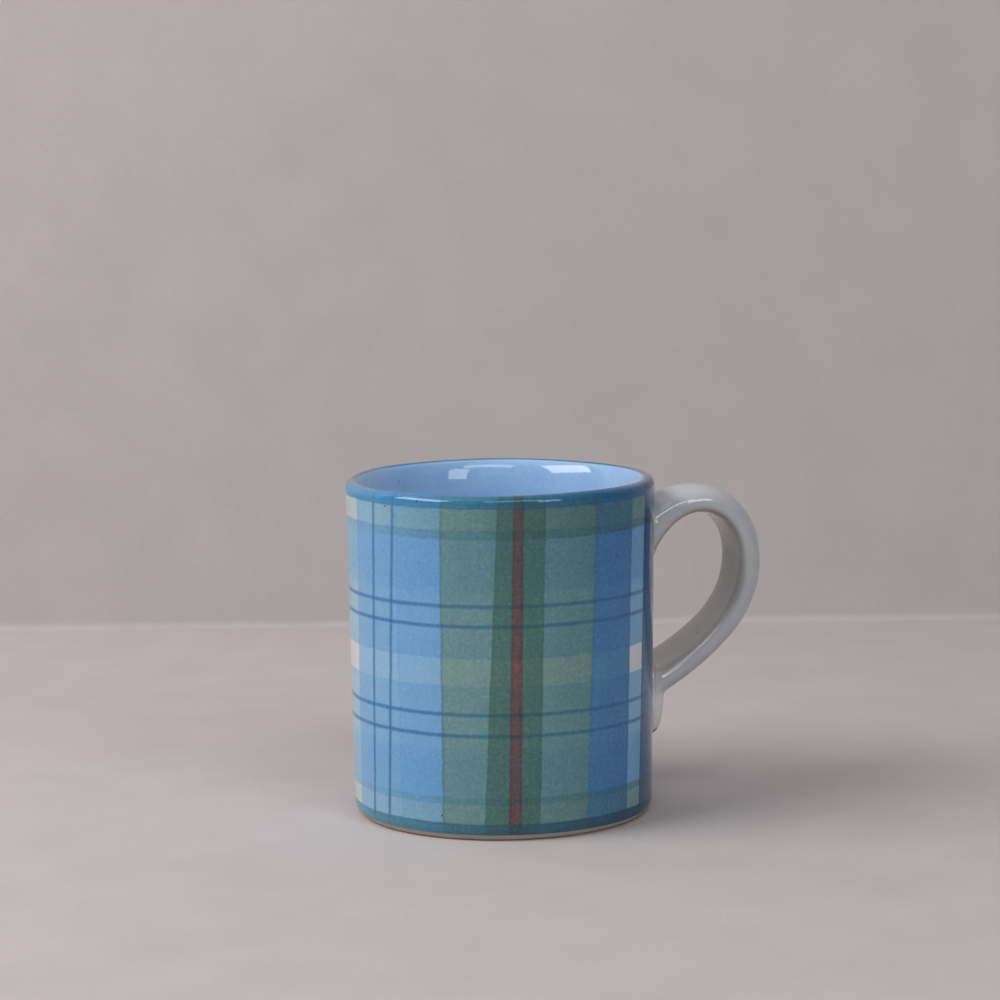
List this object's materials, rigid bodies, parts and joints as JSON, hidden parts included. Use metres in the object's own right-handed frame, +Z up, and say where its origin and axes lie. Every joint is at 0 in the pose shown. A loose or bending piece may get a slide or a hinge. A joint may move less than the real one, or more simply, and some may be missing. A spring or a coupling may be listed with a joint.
{
  "type": "mug",
  "caption": "Straight-sided stoneware drinking mug with a pulled strap handle, painted round the wall with a plaid of blue, green, cream and red glaze.",
  "frame": {"origin": "centre of the ring the mug stands on, in the plane it stands on", "axes": "+Z is up along the wall's axis, +X points towards the handle, +Y is to the left of the handle seen from outside it"},
  "size_m": [0.1145, 0.0832, 0.091],
  "materials": {
    "stoneware": "bare fired stoneware, matt",
    "slip": "fired slip, matt",
    "painted_glaze": "gloss glaze over translucent painted washes",
    "teal_glaze": "gloss glaze, dark teal",
    "dark_blue_glaze": "gloss glaze, dark blue",
    "liner_glaze": "gloss glaze, pale grey blue",
    "cream_glaze": "gloss glaze, warm cream"
  },
  "bodies": {
    "root": {"clay_body": "stoneware", "handle_core": "stoneware", "upper_slip_joint": "slip", "lower_slip_joint": "slip", "tartan_glaze": "painted_glaze", "rim_glaze_band": "teal_glaze", "foot_glaze_band": "dark_blue_glaze", "liner_glaze": "liner_glaze", "handle_glaze": "cream_glaze", "base_glaze": "liner_glaze"}
  },
  "joints": []
}
